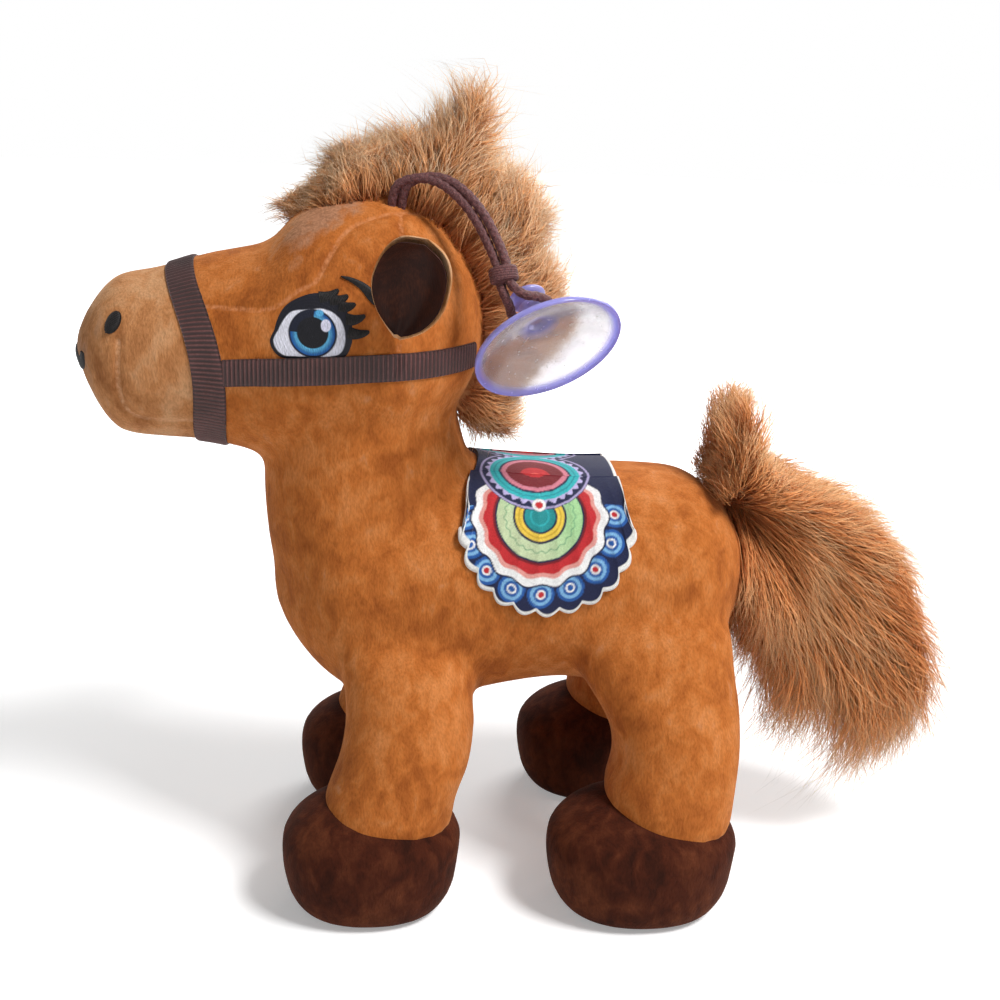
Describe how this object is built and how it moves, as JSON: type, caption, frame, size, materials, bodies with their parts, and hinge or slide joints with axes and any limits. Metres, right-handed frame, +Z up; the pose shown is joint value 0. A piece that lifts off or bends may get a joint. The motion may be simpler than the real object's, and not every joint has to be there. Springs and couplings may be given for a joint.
{
  "type": "plush horse",
  "caption": "Small standing plush horse with a ribbon halter, printed felt saddle cloth, long fur mane and tail, and a suction cup on a cord at its crown.",
  "frame": {"origin": "middle of the box round the horse, at the level of its soles, measured without the hanging cord and suction cup", "axes": "the horse faces -X, its left side is -Y, +Z is up"},
  "size_m": [0.2058, 0.0928, 0.1773],
  "materials": {
    "plush": "short pile, caramel",
    "muzzle_plush": "short pile, light tan",
    "hoof_plush": "short pile, chocolate",
    "fur": "long pile, light caramel",
    "ribbon": "ribbed ribbon, dark brown",
    "ear_lining": "smooth short nap, dark brown",
    "felt": "printed felt, scalloped bands",
    "eye_thread": "embroidery, blue, white and black",
    "black_thread": "satin stitch, black",
    "cord": "braided, burgundy brown",
    "cup_plastic": "clear soft plastic, pale lilac"
  },
  "bodies": {
    "horse": {"torso": "plush", "neck": "plush", "head": "plush", "leg_front_left": "plush", "leg_front_right": "plush", "leg_hind_left": "plush", "leg_hind_right": "plush", "muzzle": "muzzle_plush", "hoof_front_left": "hoof_plush", "hoof_front_right": "hoof_plush", "hoof_hind_left": "hoof_plush", "hoof_hind_right": "hoof_plush", "mane": "fur", "forelock": "fur", "noseband": "ribbon", "cheek_strap_left": "ribbon", "cheek_strap_right": "ribbon", "saddle_cloth": "felt", "eye_left": "eye_thread", "eye_right": "eye_thread", "nostril_left": "black_thread", "nostril_right": "black_thread", "mouth_stitch": "black_thread"},
    "ear_left": {"ear_left": "plush", "ear_lining_left": "ear_lining"},
    "ear_right": {"ear_right": "plush", "ear_lining_right": "ear_lining"},
    "saddle_flap_left": {"saddle_flap_left": "felt"},
    "saddle_flap_right": {"saddle_flap_right": "felt"},
    "tail_root": {"tail_root": "plush"},
    "tail": {"tail": "fur"},
    "hanger": {"hanging_cord": "cord", "cord_binding": "cord"},
    "suction_cup": {"suction_cup": "cup_plastic"}
  },
  "joints": [
    {"name": "ear_left_fold", "type": "hinge", "parent": "horse", "child": "ear_left", "pos_m": [-0.033, -0.02571, 0.1285], "axis": [0.8862, -0.2965, -0.356], "range_deg": [-8, 30], "stiffness_Nm_per_rad": 0.004},
    {"name": "ear_right_fold", "type": "hinge", "parent": "horse", "child": "ear_right", "pos_m": [-0.033, 0.02571, 0.1285], "axis": [-0.8862, -0.2965, 0.356], "range_deg": [-8, 30], "stiffness_Nm_per_rad": 0.004},
    {"name": "saddle_left_lift", "type": "hinge", "parent": "horse", "child": "saddle_flap_left", "pos_m": [-0.0004, -0.01, 0.09716], "axis": [-1, 0, 0], "range_deg": [0, 80]},
    {"name": "saddle_right_lift", "type": "hinge", "parent": "horse", "child": "saddle_flap_right", "pos_m": [-0.0004, 0.01, 0.09716], "axis": [1, 0, 0], "range_deg": [0, 80]},
    {"name": "tail_sway", "type": "hinge", "parent": "horse", "child": "tail_root", "pos_m": [0.044, 0, 0.0895], "axis": [0, 0, 1], "range_deg": [-30, 30], "stiffness_Nm_per_rad": 0.02},
    {"name": "tail_lift", "type": "hinge", "parent": "tail_root", "child": "tail", "pos_m": [0.044, 0, 0.0895], "axis": [0, -1, 0], "range_deg": [0, 45]},
    {"name": "hanger_swing", "type": "hinge", "parent": "horse", "child": "hanger", "pos_m": [-0.0335, -0.0102, 0.15649], "axis": [0, -1, 0], "range_deg": [0, 130]},
    {"name": "cup_spin", "type": "hinge", "parent": "hanger", "child": "suction_cup", "pos_m": [-0.00577, -0.02196, 0.13384], "axis": [-0.272, 0.6899, 0.6709], "range_deg": [-180, 180]}
  ]
}
